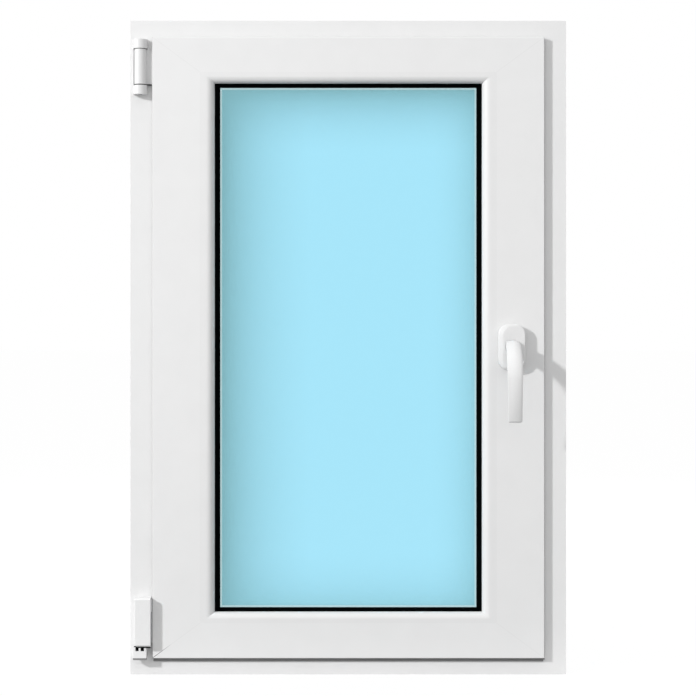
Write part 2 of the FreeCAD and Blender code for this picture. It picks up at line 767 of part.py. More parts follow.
def make_upper_hinge():
    """The upper hinge: a bracket with two lugs on the frame, the sash's knuckle and a pin through them."""
    span = s.upper_lug * 2 + s.upper_knuckle + s.hinge_slit + s.hinge_gap
    base = s.frame_height - s.upper_drop - span
    bracket = new_body("upper_hinge_bracket")
    strap = new_sketch(bracket, "bracket_strap")
    add_box(strap, (-s.barrel_round, -s.strap_out), (-s.barrel_round + s.strap_thick, 0))
    add_pad(bracket, strap, span)
    for name, lift in (("bracket_lug_low", 0), ("bracket_lug_high", span - s.upper_lug)):
        lug = new_sketch(bracket, name, "XY_Plane", lift)
        add_barrel(lug, s.barrel_round, Length.of(0))
        add_pad(bracket, lug, s.upper_lug)
    bore_barrel(bracket, "bracket")
    place_hinge(bracket, base)
    knuckle = new_body("upper_hinge_knuckle")
    post = new_sketch(knuckle, "knuckle_post")
    add_barrel(post, s.knuckle_round, s.seat_gap)
    add_pad(knuckle, post, s.upper_knuckle)
    web = new_sketch(knuckle, "knuckle_web")
    add_box(web, (0, -s.hinge_web), (s.jamb_show - s.hinge_centre, -s.seat_gap))
    add_pad(knuckle, web, s.upper_knuckle)
    bore_barrel(knuckle, "knuckle")
    place_hinge(knuckle, base + s.upper_lug + s.hinge_gap)
    pin = new_body("upper_hinge_pin")
    rod = new_sketch(pin, "upper_pin_rod")
    add_circle(rod, (0, -s.barrel_out), s.pin_radius)
    add_pad(pin, rod, span)
    place_hinge(pin, base)
    keep(bracket, knuckle, pin)


def make_bearing():
    """The bearing block on the frame, with two notches in its top."""
    block = new_body("lower_hinge_bearing")
    foot = new_sketch(block, "bearing_foot")
    half = s.block_wide / 2
    tall = s.block_top - s.block_base
    add_box(foot, (-half, -s.block_proud), (half, 0))
    add_pad(block, foot, tall)
    front = SLIVER - s.block_proud.value
    upright = tall.value / 2
    round_edges(block, s.block_corner, lambda edge: edge.BoundBox.YMax < front and edge.BoundBox.ZLength > upright)
    notches = new_sketch(block, "bearing_notches", "XY_Plane", tall)
    for low, high in notch_boxes(Length.of(0), s.notch_back - s.block_proud):
        add_box(notches, low, high)
    add_pocket(block, notches, s.notch_deep)
    place_hinge(block, s.block_base)
    return block


def notch_boxes(play, back):
    """The two notches in the block's top, or the tabs that lie in them, from the block's front to a back."""
    boxes = []
    for step in (-0.5, 0.5):
        middle = s.notch_apart * step
        half = s.notch_wide / 2 - play
        boxes.append(((middle - half, -s.block_proud), (middle + half, back)))
    return boxes


def make_washer():
    """The black washer on the block, with a tab down each notch."""
    washer = new_body("lower_hinge_washer")
    right = s.jamb_show - s.hinge_centre - s.cover_side
    back = -s.arm_low - s.arm_thick - s.pivot_radius * 2 - s.seat_gap
    thick = s.lower_rim - s.block_top - s.seat_gap * 2
    plate = new_sketch(washer, "washer_plate")
    add_box(plate, (right - s.cover_wide, -s.block_proud), (right, back))
    add_pad(washer, plate, thick)
    tabs = new_sketch(washer, "washer_tabs")
    for low, high in notch_boxes(s.seat_gap, back):
        add_box(tabs, low, high)
    add_pad(washer, tabs, s.notch_deep, reverse=True)
    place_hinge(washer, s.block_top + s.seat_gap)
    return washer


def make_lower_cover():
    """The hollow cover over the sash's arm, open below and behind."""
    cover = new_body("lower_hinge_cover")
    right = s.jamb_show - s.hinge_centre - s.cover_side
    left = right - s.cover_wide
    front = -s.sash_step - s.cover_proud
    tall = s.lower_top - s.lower_rim
    shell = new_sketch(cover, "cover_shell")
    add_box(shell, (left, front), (right, -s.seat_gap))
    add_pad(cover, shell, tall)
    face = front.value + SLIVER
    top = tall.value - SLIVER
    middle = tall.value / 2
    round_edges(cover, s.cover_corner, lambda edge: edge.BoundBox.YMax < face and edge.BoundBox.ZMin > top)
    round_edges(cover, s.cover_edge, lambda edge: edge.BoundBox.YMax < face and edge.BoundBox.ZLength > middle)
    ear = new_sketch(cover, "cover_ear", "XY_Plane", tall - s.cover_ear)
    add_box(ear, (right - s.cover_wall, front + s.cover_corner), (right + s.cover_side - s.seat_gap, -s.sash_step))
    add_pad(cover, ear, s.cover_ear - s.cover_corner)
    inside = new_sketch(cover, "cover_inside")
    add_box(inside, (left + s.cover_wall, front + s.cover_wall), (right - s.cover_wall, -s.seat_gap))
    add_pocket(cover, inside, tall - s.cover_wall, reverse=True)
    slot = new_sketch(cover, "cover_arm_slot")
    slot_top = -s.arm_low - s.arm_thick - s.seat_gap
    add_box(slot, (right - s.cover_wall, slot_top), (right, -s.seat_gap))
    add_pocket(cover, slot, tall - s.cover_wall, reverse=True)
    place_hinge(cover, s.lower_rim)
    return cover


def make_lower_hinge():
    """The lower hinge: bearing block, pivot pin, the sash's arm and its cover."""
    block = make_bearing()
    cover = make_lower_cover()
    arm = new_body("lower_hinge_arm")
    plate = new_sketch(arm, "arm_plate")
    lip = s.jamb_show - s.hinge_centre
    left = lip - s.cover_side - s.cover_wide + s.cover_wall + s.seat_gap
    add_box(plate, (left, -s.arm_low - s.arm_thick), (lip, -s.arm_low))
    add_pad(arm, plate, s.lower_top - s.lower_rim - s.cover_wall - s.arm_inset * 2)
    place_hinge(arm, s.lower_rim + s.arm_inset)
    pivot = new_body("lower_hinge_pivot")
    rod = new_sketch(pivot, "pivot_rod")
    add_circle(rod, (0, -s.arm_low - s.arm_thick - s.pivot_radius), s.pivot_radius)
    add_pad(pivot, rod, s.pivot_long)
    place_hinge(pivot, s.block_top)
    keep(block, make_washer(), pivot, arm, cover)


def make_drain_caps():
    """Two hooded caps over the drain slots, on the sill's outside face, open below."""
    for name, side in (("drain_cap_left", -0.5), ("drain_cap_right", 0.5)):
        cap = new_body(name)
        hood = new_sketch(cap, name + "_hood", "XZ_Plane")
        add_round_box(hood, (0, 0), s.drain_wide, s.drain_tall, s.drain_corner)
        add_pad(cap, hood, s.drain_proud, reverse=True)
        mouth = new_sketch(cap, name + "_mouth", "XZ_Plane")
        half = s.drain_wide / 2 - s.drain_corner
        add_box(mouth, (-half, -s.drain_tall), (half, s.drain_tall / 2 - s.drain_corner))
        add_pocket(cap, mouth, s.drain_proud - s.drain_wall)
        place(cap, s.drain_apart * side, s.frame_depth / 2, s.drain_high)
        keep(cap)


def check_and_export():
    """Stop on any failed object, then write each piece."""
    doc.recompute()
    for item in doc.Objects:
        if "Invalid" in item.State or "Error" in item.State:
            raise RuntimeError(f"{item.Label} failed: {item.State}")
    os.makedirs("parts", exist_ok=True)
    for node in nodes:
        shape = node.Shape
        if shape.isNull() or not shape.isValid() or not shape.Solids:
            raise RuntimeError(f"{node.Label} has no valid solid")
        shape.exportStep(f"parts/{node.Label}.step")
        print(f"{node.Label}: {len(shape.Solids)} solid, {shape.Volume / 1000:.1f} cm3")


make_frame()
make_sash()
make_glass()
keep(make_rose(), make_lever(), make_spindle())
make_upper_hinge()
make_lower_hinge()
make_drain_caps()
check_and_export()
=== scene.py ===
# Tilt and turn window: the finish of every surface, the two castings of the handle, and the small trim
# round the CAD frame.
#
# Metres. +X is to the right and +Y to the outside, seen from the room; +Z is up.
# The camera and the lamps stand where the photograph's own stood.

import bmesh
import bpy
import math
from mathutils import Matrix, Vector


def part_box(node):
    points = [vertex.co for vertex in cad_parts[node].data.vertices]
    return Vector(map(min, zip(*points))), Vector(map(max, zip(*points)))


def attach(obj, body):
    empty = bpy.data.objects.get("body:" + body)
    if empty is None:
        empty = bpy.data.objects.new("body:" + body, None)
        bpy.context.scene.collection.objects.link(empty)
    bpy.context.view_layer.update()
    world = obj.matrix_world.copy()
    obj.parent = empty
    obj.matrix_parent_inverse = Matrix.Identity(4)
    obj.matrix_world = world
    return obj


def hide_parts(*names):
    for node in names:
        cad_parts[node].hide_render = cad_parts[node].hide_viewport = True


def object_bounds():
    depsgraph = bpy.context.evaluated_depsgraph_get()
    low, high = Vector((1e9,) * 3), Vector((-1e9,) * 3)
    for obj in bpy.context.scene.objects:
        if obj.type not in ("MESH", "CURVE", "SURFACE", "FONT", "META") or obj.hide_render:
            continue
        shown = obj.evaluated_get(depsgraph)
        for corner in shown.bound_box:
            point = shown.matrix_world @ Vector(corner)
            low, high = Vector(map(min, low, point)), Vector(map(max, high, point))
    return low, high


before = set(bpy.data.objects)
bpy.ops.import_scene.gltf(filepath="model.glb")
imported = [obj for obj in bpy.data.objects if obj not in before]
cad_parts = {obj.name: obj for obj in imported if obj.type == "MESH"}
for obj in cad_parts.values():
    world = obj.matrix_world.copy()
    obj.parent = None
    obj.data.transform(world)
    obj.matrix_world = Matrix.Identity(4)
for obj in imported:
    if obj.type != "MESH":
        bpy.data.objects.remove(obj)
CAD_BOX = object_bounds()

MM = 0.001
# A Mix node's two colours share their names with its other inputs, so they are given by number.
COLOUR_A = 6
COLOUR_B = 7


# Where things are

SASH_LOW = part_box("sash_hinge_stile")[0]
SASH_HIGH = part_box("sash_handle_stile")[1]
SASH_FACE = SASH_LOW.y
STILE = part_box("sash_hinge_stile")[1].x - SASH_LOW.x
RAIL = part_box("sash_bottom_rail")[1].z - SASH_LOW.z

# Half way between the sash's lip and the frame's face.
LIP_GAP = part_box("frame_sill")[0].y - 1.5 * MM

# The rubber shows 7.5 mm beside the beads at the sides, and less above and below.
RUBBER_SIDE = 7.5 * MM
RUBBER_END = 5.6 * MM
SIGHT_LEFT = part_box("bead_hinge_side")[1].x + RUBBER_SIDE
SIGHT_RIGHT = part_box("bead_handle_side")[0].x - RUBBER_SIDE
SIGHT_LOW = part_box("bead_bottom")[1].z + RUBBER_END
SIGHT_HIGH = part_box("bead_top")[0].z - RUBBER_END

SPINDLE = sum(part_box("handle_spindle"), Vector()) / 2


# Colours and nodes

def srgb(code):
    """A colour written as sRGB hex, as the linear values that shaders take."""
    parts = [int(code[i:i + 2], 16) / 255 for i in (1, 3, 5)]
    return (*[p / 12.92 if p <= 0.04045 else ((p + 0.055) / 1.055) ** 2.4 for p in parts], 1.0)


def add(tree, kind, inputs=None, **settings):
    """Add a node, set its properties, and fill its inputs.

    An input is a value, another node's output, or another node, which stands for its first output in use.
    """
    node = tree.nodes.new(kind)
    for name, value in settings.items():
        setattr(node, name, value)
    for name, value in (inputs or {}).items():
        if isinstance(value, bpy.types.Node):
            value = next(output for output in value.outputs if output.enabled)
        if isinstance(value, bpy.types.NodeSocket):
            tree.links.new(value, node.inputs[name])
        else:
            node.inputs[name].default_value = value
    return node


def start_material(name):
    """A new material and its emptied node tree."""
    material = bpy.data.materials.new(name)
    material.use_nodes = True
    material.node_tree.nodes.clear()
    return material, material.node_tree


# Materials

def make_mottled(name, spacing, detail, dark, light, surface, bump=None):
    """A finish that wavers between two tints over a spacing in millimetres.

    Detail is how much finer grain lies on that. Surface holds the shader's even values, and bump the
    strength and the depth in millimetres.
    """
    material, tree = start_material(name)
    where = add(tree, "ShaderNodeTexCoord").outputs["Object"]
    grain = add(tree, "ShaderNodeTexNoise", {"Vector": where, "Scale": 1 / (spacing * MM), "Detail": detail})
    tint = add(tree, "ShaderNodeMix", {
        "Factor": grain, COLOUR_A: srgb(dark), COLOUR_B: srgb(light),
    }, data_type="RGBA")
    inputs = {"Base Color": tint, **surface}
    if bump:
        strength, depth = bump
        inputs["Normal"] = add(tree, "ShaderNodeBump", {
            "Strength": strength, "Distance": depth * MM, "Height": grain,
        })
    shader = add(tree, "ShaderNodeBsdfPrincipled", inputs)
    add(tree, "ShaderNodeOutputMaterial", {"Surface": shader})
    return material


def make_epdm():
    """Black EPDM rubber: nearly matt, with a grain of about 1 mm."""
    return make_mottled("epdm_rubber", 1.111, 3.0, "#010202", "#060809", {
        "Roughness": 0.7, "IOR": 1.4, "Specular IOR Level": 0.01,
    }, bump=(0.1, 0.2))


def make_shade_grey():
    """A matt grey, cloudy over 2 mm, for pieces that stand in for shade: painted shade below the sash's lip
    and under the bearing block.
    """
    return make_mottled("shade_grey", 2.0, 2.0, "#848484", "#8E8E8E", {
        "Roughness": 0.7, "IOR": 1.4, "Specular IOR Level": 0.2,
    })


def make_enamel(name, dark, light, roughness):
    """White powder coat on die-cast zinc: a satin gloss, with an orange peel of about 1.5 mm."""
    return make_mottled(name, 1.538, 1.0, dark, light, {
        "Roughness": roughness, "IOR": 1.5,
    }, bump=(0.05, 0.3))


def make_zinced_steel():
    """Zinc-plated steel: grey and satin, cloudy over about 4 mm."""
    return make_mottled("zinc_plated_steel", 3.846, 3.0, "#9B9EA1", "#B7B9BB", {
        "Metallic": 1.0, "Roughness": 0.38,
    })


def make_pierced_marks():
    """The spacer bar's perforations: dark, with the grain of the drying beads behind them."""
    return make_mottled("spacer_perforation", 0.5556, 1.0, "#2A2A28", "#44423E", {"Roughness": 0.9})


def make_aluminium():
    """Mill-finish aluminium: soft grey, with a gloss that varies over about 1.4 mm."""
    material, tree = start_material("drawn_aluminium")
    where = add(tree, "ShaderNodeTexCoord").outputs["Object"]
    lines = add(tree, "ShaderNodeTexNoise", {"Vector": where, "Scale": 1 / (1.429 * MM), "Detail": 2.0})
    gloss = add(tree, "ShaderNodeMapRange", {"Value": lines, "To Min": 0.32, "To Max": 0.5})
    shader = add(tree, "ShaderNodeBsdfPrincipled", {
        "Base Color": srgb("#C4C7C9"), "Metallic": 1.0, "Roughness": gloss,
    })
    add(tree, "ShaderNodeOutputMaterial", {"Surface": shader})
    return material


def make_moulded_abs():
    """White moulded ABS of the drain caps: slightly warmer than the profiles, with a spark-eroded texture."""
    material, tree = start_material("moulded_abs")
    where = add(tree, "ShaderNodeTexCoord").outputs["Object"]
    grain = add(tree, "ShaderNodeTexNoise", {"Vector": where, "Scale": 1 / (0.7143 * MM), "Detail": 2.0})
    bump = add(tree, "ShaderNodeBump", {"Strength": 0.05, "Distance": 0.2 * MM, "Height": grain})
    shader = add(tree, "ShaderNodeBsdfPrincipled", {
        "Base Color": srgb("#ECECEA"), "Roughness": 0.4, "IOR": 1.5, "Normal": bump,
    })
    add(tree, "ShaderNodeOutputMaterial", {"Surface": shader})
    return material


def sash_seam(tree, across, up):
    """Where the scraped weld of a sash corner shows: a thin line down the mitre, plainest below the hinge."""
    middle = (SASH_LOW.z + SASH_HIGH.z) / 2
    high = add(tree, "ShaderNodeMath", {0: up, 1: middle}, operation="SUBTRACT")
    sideways = add(tree, "ShaderNodeMath", {0: across}, operation="ABSOLUTE")
    endways = add(tree, "ShaderNodeMath", {0: high}, operation="ABSOLUTE")
    inward = add(tree, "ShaderNodeMath", {0: SASH_HIGH.x, 1: sideways}, operation="SUBTRACT")
    down = add(tree, "ShaderNodeMath", {0: SASH_HIGH.z - middle, 1: endways}, operation="SUBTRACT")
    slant = math.hypot(STILE, RAIL)
    nearer = add(tree, "ShaderNodeMath", {0: down, 1: -STILE / slant}, operation="MULTIPLY")
    crosswise = add(tree, "ShaderNodeMath", {0: inward, 1: RAIL / slant, 2: nearer}, operation="MULTIPLY_ADD")
    off = add(tree, "ShaderNodeMath", {0: crosswise}, operation="ABSOLUTE")
    line = add(tree, "ShaderNodeMapRange", {
        "Value": off, "From Min": 0.25 * MM, "From Max": 0.6 * MM, "To Min": 1.0, "To Max": 0.0,
    })
    # The scraper left the seam open over the 27 mm next to the lower hinge. Elsewhere it is faint.
    opened = add(tree, "ShaderNodeMapRange", {
        "Value": inward, "From Min": 10 * MM, "From Max": 27 * MM, "To Min": 0.9, "To Max": 0.0,
    })
    left = add(tree, "ShaderNodeMath", {0: across, 1: 0.0}, operation="LESS_THAN")
    below = add(tree, "ShaderNodeMath", {0: high, 1: 0.0}, operation="LESS_THAN")
    corner = add(tree, "ShaderNodeMath", {0: left, 1: below}, operation="MULTIPLY")
    plain = add(tree, "ShaderNodeMath", {0: corner, 1: opened, 2: 0.06}, operation="MULTIPLY_ADD")
    return add(tree, "ShaderNodeMath", {0: line, 1: plain}, operation="MULTIPLY")


def mark_sash(tree, where, tint):
    """The sash's own marks over its tint: painted shade on the lip at the hinge side, and the weld seams."""
    place = add(tree, "ShaderNodeSeparateXYZ", {"Vector": where}).outputs
    inside = add(tree, "ShaderNodeMath", {0: place["X"], 1: SASH_LOW.x}, operation="SUBTRACT")
    # Painted shade: the hinge-side lip's rounded edge is darkened where it would catch the lamp.
    lip = add(tree, "ShaderNodeMapRange", {
        "Value": inside, "From Min": 0.5 * MM, "From Max": 1.3 * MM, "To Min": 0.9, "To Max": 0.0,
    })
    for mark, colour in ((lip, "#C8C8C8"), (sash_seam(tree, place["X"], place["Z"]), "#808080")):
        tint = add(tree, "ShaderNodeMix", {
            "Factor": mark, COLOUR_A: tint, COLOUR_B: srgb(colour),
        }, data_type="RGBA")
    return tint


# How far the unevenness of a drawn wall runs, and how far apart and how long the lines of its die are.
WALL_WAVE = 41.67 * MM
DIE_LINE_APART = 2.083 * MM
DIE_LINE_LONG = 297.6 * MM


def make_upvc(name, drawn, tints=("#E4E4E4", "#E9E9E9"), marks=None):
    """Extruded uPVC: white, a low gloss, and faint lines along the axis it was drawn on."""
    material, tree = start_material(name)
    where = add(tree, "ShaderNodeTexCoord").outputs["Object"]
    wave = add(tree, "ShaderNodeTexNoise", {"Vector": where, "Scale": 1 / WALL_WAVE, "Detail": 2.0})
    tint = add(tree, "ShaderNodeMix", {
        "Factor": wave, COLOUR_A: srgb(tints[0]), COLOUR_B: srgb(tints[1]),
    }, data_type="RGBA")
    if marks:
        tint = marks(tree, where, tint)
    stretch = [DIE_LINE_APART / DIE_LINE_LONG if axis == drawn else 1.0 for axis in "XYZ"]
    along = add(tree, "ShaderNodeVectorMath", {0: where, 1: stretch}, operation="MULTIPLY")
    lines = add(tree, "ShaderNodeTexNoise", {"Vector": along, "Scale": 1 / DIE_LINE_APART, "Detail": 2.0})
    gloss = add(tree, "ShaderNodeMapRange", {"Value": lines, "To Min": 0.30, "To Max": 0.42})
    bump = add(tree, "ShaderNodeBump", {"Strength": 0.03, "Distance": 0.2 * MM, "Height": lines})
    shader = add(tree, "ShaderNodeBsdfPrincipled", {
        "Base Color": tint, "Roughness": gloss, "Normal": bump, "IOR": 1.53, "Specular IOR Level": 0.35,
    })
    add(tree, "ShaderNodeOutputMaterial", {"Surface": shader})
    return material


def glass_border(tree, where):
    """The light at a point of the glass, 1 in the middle, and its distance from the nearest rubber edge."""
    place = add(tree, "ShaderNodeSeparateXYZ", {"Vector": where}).outputs
    # For each edge: its axis, its place, the way in, how far its shade reaches in, and how deep that is.
    edges = [
        ("X", SIGHT_LEFT, 1, 55 * MM, 1.0),
        ("X", SIGHT_RIGHT, -1, 26 * MM, 0.50),
        ("Z", SIGHT_HIGH, -1, 38 * MM, 0.97),
        ("Z", SIGHT_LOW, 1, 32 * MM, 0.46),
    ]
    light = nearest = 1.0
    for axis, edge, inward, reach, shade in edges:
        inside = add(tree, "ShaderNodeMath", {
            0: place[axis], 1: inward, 2: -inward * edge,
        }, operation="MULTIPLY_ADD")
        nearest = add(tree, "ShaderNodeMath", {0: inside, 1: nearest}, operation="MINIMUM")
        fallen = add(tree, "ShaderNodeMath", {0: inside, 1: -1 / reach}, operation="MULTIPLY")
        tail = add(tree, "ShaderNodeMath", {0: fallen}, operation="EXPONENT")
        kept = add(tree, "ShaderNodeMapRange", {
            "Value": tail, "From Min": 0.1, "From Max": 1.0, "To Min": 1.0, "To Max": 1.0 - shade,
        })
        light = add(tree, "ShaderNodeMath", {0: kept, 1: light}, operation="MULTIPLY")
    return light, nearest


def make_tinted_glass():
    """Sun-control float glass: sky blue, darker in the border where the frame keeps light off it."""
    material, tree = start_material("tinted_float_glass")
    light, nearest = glass_border(tree, add(tree, "ShaderNodeTexCoord").outputs["Object"])
    tint = add(tree, "ShaderNodeMix", {
        "Factor": light, COLOUR_A: srgb("#7FB4BE"), COLOUR_B: srgb("#ADEAFF"),
    }, data_type="RGBA")
    # Painted highlight: a pale line, about 2 mm wide, on the glass along the rubber.
    edge_highlight = add(tree, "ShaderNodeMapRange", {
        "Value": nearest, "From Min": 1.4 * MM, "From Max": 2.4 * MM, "To Min": 0.5, "To Max": 0.0,
    })
    shown = add(tree, "ShaderNodeMix", {
        "Factor": edge_highlight, COLOUR_A: tint, COLOUR_B: srgb("#E3F0F0"),
    }, data_type="RGBA")
    shader = add(tree, "ShaderNodeBsdfPrincipled", {
        "Base Color": shown, "Roughness": 0.0, "IOR": 1.45, "Transmission Weight": 1.0,
    })
    add(tree, "ShaderNodeOutputMaterial", {"Surface": shader})
    return material


def make_clear_glass():
    """Clear float glass, the outside sheet."""
    material, tree = start_material("clear_float_glass")
    shader = add(tree, "ShaderNodeBsdfPrincipled", {
        "Base Color": srgb("#F6FBFA"), "Roughness": 0.0, "IOR": 1.45, "Transmission Weight": 1.0,
    })
    add(tree, "ShaderNodeOutputMaterial", {"Surface": shader})
    return material


EPDM = make_epdm()
SHADE_GREY = make_shade_grey()
ABS = make_moulded_abs()
ROSE_ENAMEL = make_enamel("powder_coated_zinc", "#DFDFDF", "#E4E4E4", 0.3)
LEVER_ENAMEL = make_enamel("powder_coated_lever", "#E4E4E4", "#E9E9E9", 0.3)


def dress_cad_nodes():
    """Give each CAD node the material of its finish."""
    frame_upright = make_upvc("extruded_upvc_upright", "Z")
    frame_level = make_upvc("extruded_upvc_level", "X")
    sash_upright = make_upvc("welded_upvc_upright", "Z", marks=mark_sash)
    sash_level = make_upvc("welded_upvc_level", "X", marks=mark_sash)
    # The beads come from another batch, a shade greyer.
    bead_upright = make_upvc("bead_upvc_upright", "Z", tints=("#E2E2E2", "#E6E6E6"))
    bead_level = make_upvc("bead_upvc_level", "X", tints=("#E2E2E2", "#E6E6E6"))
    hinge_enamel = make_enamel("powder_coated_steel", "#E6E6E6", "#EBEBEB", 0.35)
    # The upper hinge's coat is a darker copy of the lower hinge's: painted shade.
    shaded_barrel_enamel = make_enamel("powder_coated_barrel_shaded", "#DADADA", "#E0E0E0", 0.4)
    steel = make_zinced_steel()
    finishes = {
        "frame_hinge_jamb": frame_upright, "frame_lock_jamb": frame_upright,
        "frame_head": frame_level, "frame_sill": frame_level,
        "sash_hinge_stile": sash_upright, "sash_handle_stile": sash_upright,
        "sash_top_rail": sash_level, "sash_bottom_rail": sash_level,
        "bead_hinge_side": bead_upright, "bead_handle_side": bead_upright,
        "bead_top": bead_level, "bead_bottom": bead_level,
        "frame_seal": EPDM, "sash_seal": EPDM, "inner_gasket": EPDM, "outer_gasket": EPDM,
        "glass_inner_pane": make_tinted_glass(), "glass_outer_pane": make_clear_glass(),
        "spacer_bar": make_aluminium(),
        "handle_rose": ROSE_ENAMEL, "handle_lever": LEVER_ENAMEL, "handle_spindle": steel,
        "upper_hinge_bracket": shaded_barrel_enamel, "upper_hinge_knuckle": shaded_barrel_enamel, "upper_hinge_pin": steel,
        "lower_hinge_cover": hinge_enamel, "lower_hinge_bearing": hinge_enamel, "lower_hinge_washer": EPDM,
        "lower_hinge_pivot": steel, "lower_hinge_arm": steel,
        "drain_cap_left": ABS, "drain_cap_right": ABS,
    }
    for name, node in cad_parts.items():
        node.data.materials.clear()
        node.data.materials.append(finishes[name])


# Ways to make a mesh

def arc_points(centre, radius, first, last, steps):
    """Points along an arc, by angles in degrees."""
    angles = [math.radians(first + (last - first) * step / steps) for step in range(steps + 1)]
    return [(centre[0] + radius * math.cos(angle), centre[1] + radius * math.sin(angle)) for angle in angles]


def circle_points(centre, radius):
    """Points round a circle."""
    return arc_points(centre, radius, 0, 360, 48)[:-1]


def skin(bm, loops, ring=False):
    """Join loops of points in order. In a ring the last joins the first; otherwise both ends are closed."""
    rims = [[bm.verts.new(point) for point in loop] for loop in loops]
    pairs = list(zip(rims, rims[1:]))
    if ring:
        pairs.append((rims[-1], rims[0]))
    for near, far in pairs:
        for index in range(len(near)):
            after = (index + 1) % len(near)
            bm.faces.new((near[index], near[after], far[after], far[index]))
    if not ring:
        bm.faces.new(rims[0])
        bm.faces.new(rims[-1])


def add_block(bm, low, high):
    """A plain small block between two corners."""
    for vertex in bmesh.ops.create_cube(bm, size=1.0)["verts"]:
        vertex.co = [(a + b) / 2 + c * (b - a) for a, b, c in zip(low, high, vertex.co)]


def add_piece(name, bm, material, body, smooth=True):
    """A finished mesh as a piece that rides on a body."""
    mesh = bpy.data.meshes.new(name)
    bmesh.ops.recalc_face_normals(bm, faces=bm.faces)
    bm.to_mesh(mesh)
    bm.free()
    for face in mesh.polygons:
        face.use_smooth = smooth
    mesh.materials.append(material)
    piece = bpy.data.objects.new(name, mesh)
    bpy.context.scene.collection.objects.link(piece)
    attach(piece, body)
    return piece


def grow(name, bm, build):
    """A piece of the window from a Geometry Nodes tree. Build fills it and returns its inputs' values."""
    mesh = bpy.data.meshes.new(name)
    bm.to_mesh(mesh)
    bm.free()
    seed = bpy.data.objects.new(name + "_path", mesh)
    bpy.context.scene.collection.objects.link(seed)
    tree = bpy.data.node_groups.new(name, "GeometryNodeTree")
    tree.interface.new_socket("Path", in_out="INPUT", socket_type="NodeSocketGeometry")
    tree.interface.new_socket("Piece", in_out="OUTPUT", socket_type="NodeSocketGeometry")
    values = build(tree)
    modifier = seed.modifiers.new(name, "NODES")
    modifier.node_group = tree
    for socket in tree.interface.items_tree:
        if socket.in_out == "INPUT" and socket.name in values:
            modifier[socket.identifier] = values[socket.name]
    grown = bpy.data.meshes.new_from_object(seed.evaluated_get(bpy.context.evaluated_depsgraph_get()))
    grown.name = name
    seed.modifiers.clear()
    bpy.data.objects.remove(seed)
    piece = bpy.data.objects.new(name, grown)
    bpy.context.scene.collection.objects.link(piece)
    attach(piece, "window")


def close_tree(tree, geometry, material):
    """End a tree in real geometry with its material."""
    solid = add(tree, "GeometryNodeRealizeInstances", {"Geometry": geometry})
    dressed = add(tree, "GeometryNodeSetMaterial", {"Geometry": solid, "Material": material})
    add(tree, "NodeGroupOutput", {"Piece": dressed})


def at_spindle(right, out, up):
    """A point given in millimetres to the spindle's right, in front of the sash and above the spindle."""
    return (SPINDLE.x + right * MM, SASH_FACE - out * MM, SPINDLE.z + up * MM)


# The lever. Its side view is its solid's, in millimetres in front of the sash and above the spindle.

LEVER_LOW, LEVER_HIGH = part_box("handle_lever")
# How far the lever stands out, and how far its neck reaches above the spindle.
REACH = (SASH_FACE - LEVER_LOW.y) / MM
NECK = (LEVER_HIGH.z - SPINDLE.z) / MM
# The photograph's lever is a little longer at the tip and wider at the right than the solid.
TIP_LONGER = 0.5
RIGHT_WIDER = 0.45
TIP = (LEVER_LOW.z - SPINDLE.z) / MM - TIP_LONGER
LEVER_RIGHT = (LEVER_HIGH.x - SPINDLE.x) / MM + RIGHT_WIDER
LEVER_LEFT = (LEVER_LOW.x - SPINDLE.x) / MM
# The bend's outer radius is the elbow, and its inner one the crook.
NECK_START = 12.8
ELBOW = REACH - NECK_START
CROOK = 27.0
# The grip's thickness at the bend. At the tip its front lies further back, and it is thinner and narrower.
GRIP_THICK = 13.3
TIP_BACK = 8.0
TIP_THICK = 12.0
TIP_NARROWER = 2.8
# The neck is narrower too, at its left.
NECK_NARROWER = 3.0
# The round journal runs from its end in the rose's bore to a little way inside the neck.
JOURNAL_RADIUS = 8.5
JOURNAL_END = 3.0
JOURNAL_LAP = 0.1
# A casting: crisp at the front left, rolled off at the front right, soft behind, with draft at the left.
LEFT_ROUND = 0.8
RIGHT_ROUND = 4.4
REAR_ROUND = 3.4
DRAFT = 1.2
# The tip's end: how far down each ring lies, and how far inside at the front, the sides and the rear.
TIP_RINGS = [
    (0.3, 0.1, 0.05, 0.05), (0.7, 0.5, 0.2, 0.2), (1.0, 1.4, 0.8, 0.5),
    (2.3, 6.4, 2.2, 0.8), (2.3, 7.4, 3.0, 1.8),
]
# Degrees that the front leans to the right, by the part of its width, at the neck, the bend and the tip.
NECK_LEAN = [(0.0, -8), (0.15, -11), (0.3, -6), (0.5, -2), (0.62, 6), (0.85, 22), (1.0, 34)]
BEND_LEAN = [(0.0, 0), (0.1, -3), (0.25, -8), (0.4, -4), (0.55, 0), (0.8, 9), (1.0, 20)]
TIP_LEAN = [(0.0, -2), (0.15, 0), (0.4, 6), (0.7, 13), (0.9, 19), (1.0, 24)]
FRONT_STEPS = 24
BEND_STEPS = 28
GRIP_STEPS = 30


def read_table(table, place):
    """A value read between the two nearest entries of a table."""
    for (start, first), (stop, last) in zip(table, table[1:]):
        if place <= stop:
            return first + (last - first) * (place - start) / (stop - start)
    return table[-1][1]


